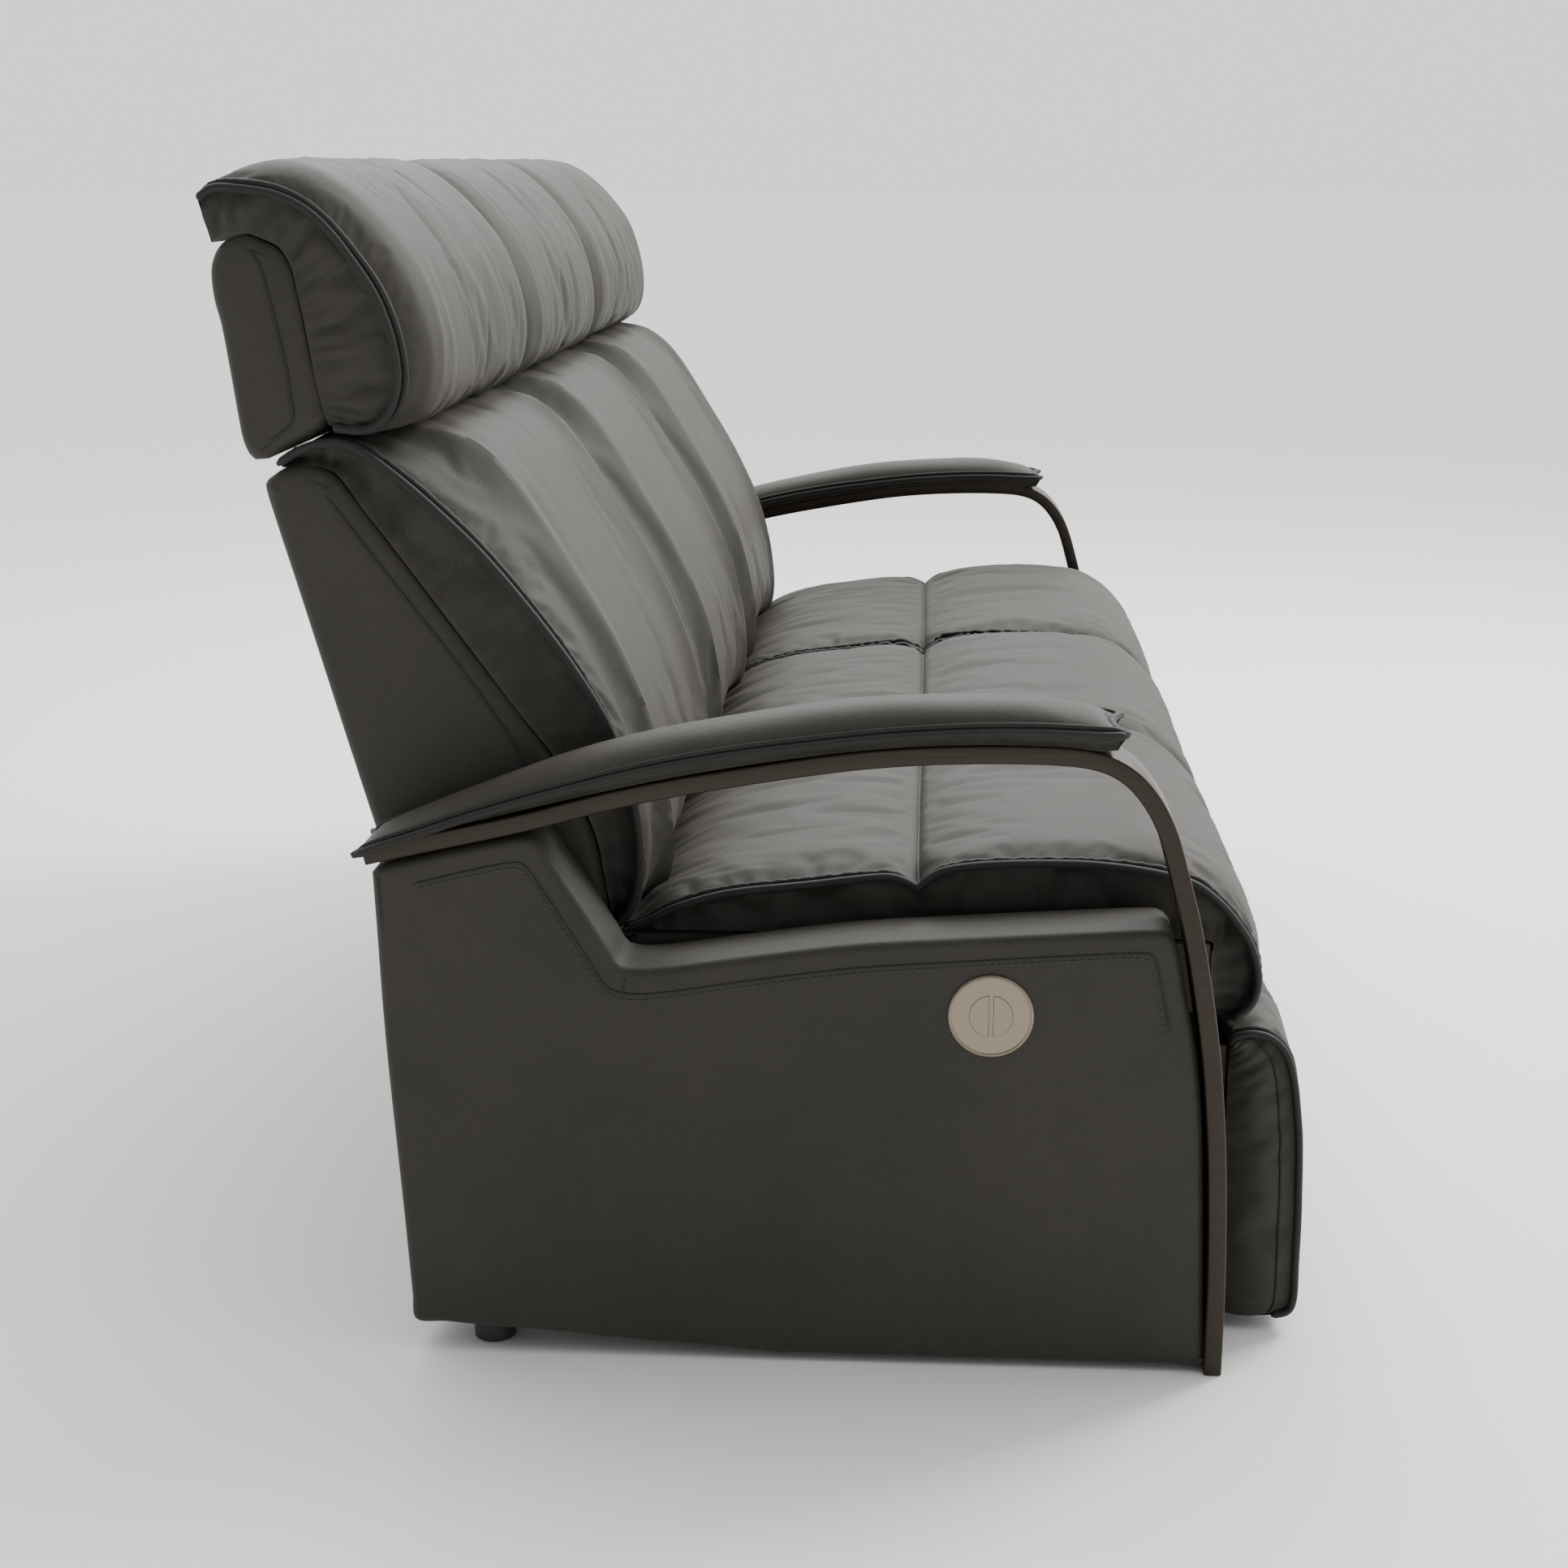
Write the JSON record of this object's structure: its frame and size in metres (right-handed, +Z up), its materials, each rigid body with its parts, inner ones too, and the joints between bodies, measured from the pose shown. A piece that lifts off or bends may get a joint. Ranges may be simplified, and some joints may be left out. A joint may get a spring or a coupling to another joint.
{
  "type": "power reclining sofa",
  "caption": "Power reclining sofa with bent metal strap arms, padded armrests, height-adjustable headrests and fold-out footrests on the end seats.",
  "frame": {"origin": "middle of the bounding box at floor level", "axes": "+X across the sofa to the sitter's left, the sitters face -Y, +Z up"},
  "size_m": [1.91, 1.042, 1.1245],
  "materials": {
    "leather_foam": "matte grey-taupe leather over foam",
    "strap_metal": "satin dark bronze",
    "satin_metal": "satin champagne",
    "steel": "satin",
    "bright_steel": "polished",
    "timber": "matte",
    "black_plastic": "matte",
    "webbing": "matte"
  },
  "bodies": {
    "sofa": {"side_panel_right": "leather_foam", "arm_strap_right": "strap_metal", "arm_pad_right": "leather_foam", "side_panel_left": "leather_foam", "arm_strap_left": "strap_metal", "arm_pad_left": "leather_foam", "front_rail": "steel", "rear_rail": "steel", "rail_bolts": "steel", "rear_apron": "leather_foam", "floor_glides": "black_plastic", "centre_legs": "black_plastic", "power_supply": "black_plastic", "middle_front_panel": "leather_foam", "seat_webbing": "webbing", "seat_box_right": "timber", "seat_cushion_right": "leather_foam", "mech_plates_right": "steel", "seat_box_middle": "timber", "seat_cushion_middle": "leather_foam", "mech_plates_middle": "steel", "back_block_middle": "leather_foam", "back_cushion_middle": "leather_foam", "seat_box_left": "timber", "seat_cushion_left": "leather_foam", "mech_plates_left": "steel", "motor_right": "black_plastic", "control_plate_right": "satin_metal", "motor_left": "black_plastic", "control_plate_left": "satin_metal"},
    "right_back": {"back_brackets_right": "steel", "back_block_right": "leather_foam", "back_cushion_right": "leather_foam"},
    "left_back": {"back_brackets_left": "steel", "back_block_left": "leather_foam", "back_cushion_left": "leather_foam"},
    "right_headrest": {"headrest_posts_right": "bright_steel", "headrest_block_right": "leather_foam", "headrest_pillow_right": "leather_foam"},
    "middle_headrest": {"headrest_posts_middle": "bright_steel", "headrest_block_middle": "leather_foam", "headrest_pillow_middle": "leather_foam"},
    "left_headrest": {"headrest_posts_left": "bright_steel", "headrest_block_left": "leather_foam", "headrest_pillow_left": "leather_foam"},
    "right_lift_links": {"lift_links_right": "steel"},
    "right_reach_links": {"reach_links_right": "steel"},
    "right_footrest": {"footrest_board_right": "timber", "footrest_pad_right": "leather_foam"},
    "right_drive_rod": {"drive_fork_right": "bright_steel"},
    "right_open_button": {"open_button_right": "satin_metal"},
    "right_close_button": {"close_button_right": "satin_metal"},
    "left_lift_links": {"lift_links_left": "steel"},
    "left_reach_links": {"reach_links_left": "steel"},
    "left_footrest": {"footrest_board_left": "timber", "footrest_pad_left": "leather_foam"},
    "left_drive_rod": {"drive_fork_left": "bright_steel"},
    "left_open_button": {"open_button_left": "satin_metal"},
    "left_close_button": {"close_button_left": "satin_metal"}
  },
  "joints": [
    {"name": "right_recline", "type": "hinge", "parent": "sofa", "child": "right_back", "pos_m": [-0.57, 0.167, 0.375], "axis": [-1, 0, 0], "range_deg": [0, 25]},
    {"name": "right_footrest_lift", "type": "hinge", "parent": "sofa", "child": "right_lift_links", "pos_m": [-0.57, -0.363, 0.285], "axis": [-1, 0, 0], "range_deg": [0, 92.2]},
    {"name": "right_footrest_reach", "type": "hinge", "parent": "right_lift_links", "child": "right_reach_links", "pos_m": [-0.57, -0.373, 0.075], "axis": [-1, 0, 0], "range_deg": [-160.71, 0]},
    {"name": "right_footrest_turn", "type": "hinge", "parent": "right_reach_links", "child": "right_footrest", "pos_m": [-0.57, -0.411, 0.262], "axis": [-1, 0, 0], "range_deg": [0, 152.71]},
    {"name": "right_drive", "type": "slide", "parent": "sofa", "child": "right_drive_rod", "axis": [0, -1, 0], "range_m": [0, 0.13]},
    {"name": "right_open_press", "type": "slide", "parent": "sofa", "child": "right_open_button", "axis": [1, 0, 0], "range_m": [0, 0.0015], "stiffness_N_per_m": 1200, "springref_m": -0.001},
    {"name": "right_close_press", "type": "slide", "parent": "sofa", "child": "right_close_button", "axis": [1, 0, 0], "range_m": [0, 0.0015], "stiffness_N_per_m": 1200, "springref_m": -0.001},
    {"name": "left_recline", "type": "hinge", "parent": "sofa", "child": "left_back", "pos_m": [0.57, 0.167, 0.375], "axis": [-1, 0, 0], "range_deg": [0, 25]},
    {"name": "left_footrest_lift", "type": "hinge", "parent": "sofa", "child": "left_lift_links", "pos_m": [0.57, -0.363, 0.285], "axis": [-1, 0, 0], "range_deg": [0, 92.2]},
    {"name": "left_footrest_reach", "type": "hinge", "parent": "left_lift_links", "child": "left_reach_links", "pos_m": [0.57, -0.373, 0.075], "axis": [-1, 0, 0], "range_deg": [-160.71, 0]},
    {"name": "left_footrest_turn", "type": "hinge", "parent": "left_reach_links", "child": "left_footrest", "pos_m": [0.57, -0.411, 0.262], "axis": [-1, 0, 0], "range_deg": [0, 152.71]},
    {"name": "left_drive", "type": "slide", "parent": "sofa", "child": "left_drive_rod", "axis": [0, -1, 0], "range_m": [0, 0.13]},
    {"name": "left_open_press", "type": "slide", "parent": "sofa", "child": "left_open_button", "axis": [-1, 0, 0], "range_m": [0, 0.0015], "stiffness_N_per_m": 1200, "springref_m": -0.001},
    {"name": "left_close_press", "type": "slide", "parent": "sofa", "child": "left_close_button", "axis": [-1, 0, 0], "range_m": [0, 0.0015], "stiffness_N_per_m": 1200, "springref_m": -0.001},
    {"name": "right_headrest_height", "type": "slide", "parent": "right_back", "child": "right_headrest", "axis": [0, 0.2656, 0.9641], "range_m": [0, 0.08]},
    {"name": "middle_headrest_height", "type": "slide", "parent": "sofa", "child": "middle_headrest", "axis": [0, 0.2656, 0.9641], "range_m": [0, 0.08]},
    {"name": "left_headrest_height", "type": "slide", "parent": "left_back", "child": "left_headrest", "axis": [0, 0.2656, 0.9641], "range_m": [0, 0.08]}
  ],
  "couplings": [
    {"joint": "right_footrest_lift", "follows": "right_recline", "ratio": 3.68},
    {"joint": "right_footrest_reach", "follows": "right_recline", "ratio": -6.4205},
    {"joint": "right_footrest_turn", "follows": "right_recline", "ratio": 6.1005},
    {"joint": "right_drive", "follows": "right_recline", "m_per_rad": 0.29675},
    {"joint": "left_footrest_lift", "follows": "left_recline", "ratio": 3.68},
    {"joint": "left_footrest_reach", "follows": "left_recline", "ratio": -6.4205},
    {"joint": "left_footrest_turn", "follows": "left_recline", "ratio": 6.1005},
    {"joint": "left_drive", "follows": "left_recline", "m_per_rad": 0.29675}
  ]
}
